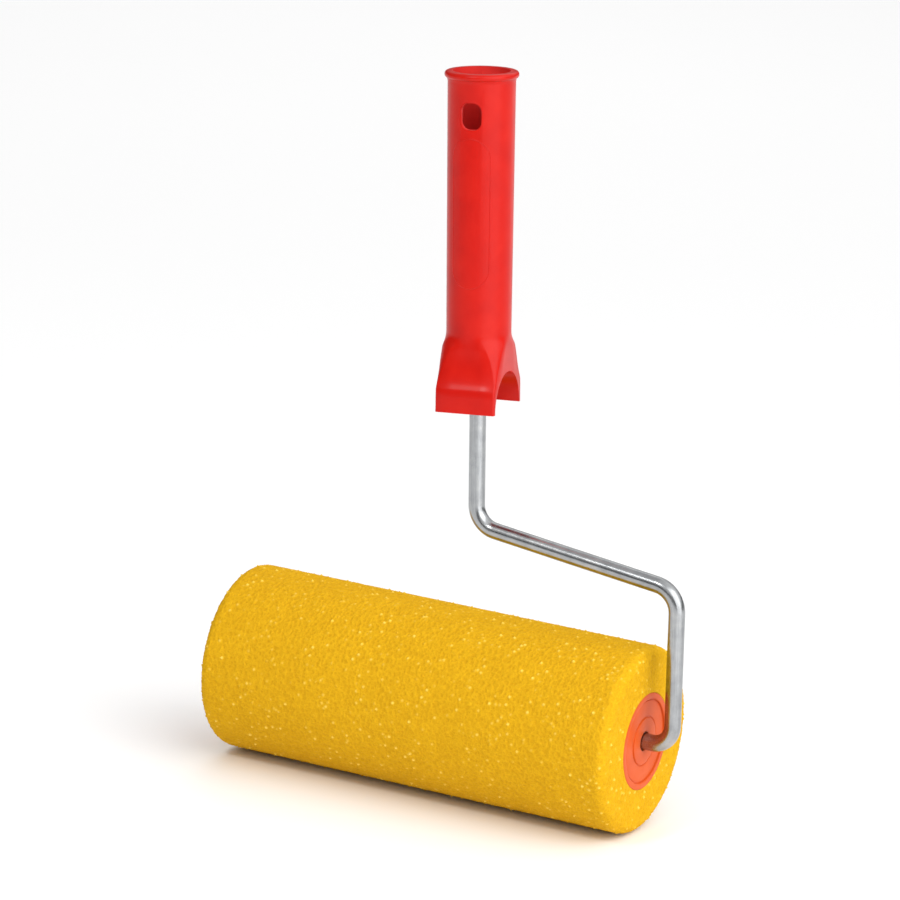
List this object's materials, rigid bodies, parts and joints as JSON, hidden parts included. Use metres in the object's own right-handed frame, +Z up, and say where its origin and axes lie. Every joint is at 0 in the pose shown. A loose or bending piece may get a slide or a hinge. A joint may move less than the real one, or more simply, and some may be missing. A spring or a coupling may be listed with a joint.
{
  "type": "paint roller",
  "caption": "Paint roller with a coarse foam cover on a hollow core, plastic end caps, a bent wire frame and a hollow moulded handle with a hanging hole.",
  "frame": {"origin": "bottom centre of the whole tool's box, with the roller standing on z = 0 and the handle up", "axes": "+X along the roller and its axle, towards the wire's leg; +Z up towards the handle's open end; +Y away from the handle's front"},
  "size_m": [0.1942, 0.0744, 0.2885],
  "materials": {
    "red_plastic": "satin moulded",
    "zinc_wire": "bright zinc plated",
    "yellow_foam": "open-cell foam",
    "grey_core": "matte",
    "orange_plastic": "satin moulded",
    "white_nylon": "satin",
    "steel_washer": "zinc plated"
  },
  "bodies": {
    "frame": {"handle": "red_plastic", "wire_frame": "zinc_wire", "right_washer": "steel_washer", "left_washer": "steel_washer"},
    "roller": {"foam_cover": "yellow_foam", "core_tube": "grey_core", "right_end_cap": "orange_plastic", "left_end_cap": "orange_plastic", "right_bush": "white_nylon", "left_bush": "white_nylon"}
  },
  "joints": [
    {"name": "roller_spin", "type": "hinge", "parent": "frame", "child": "roller", "pos_m": [-0.00705, 0, 0.0372], "axis": [1, 0, 0], "continuous": true}
  ]
}
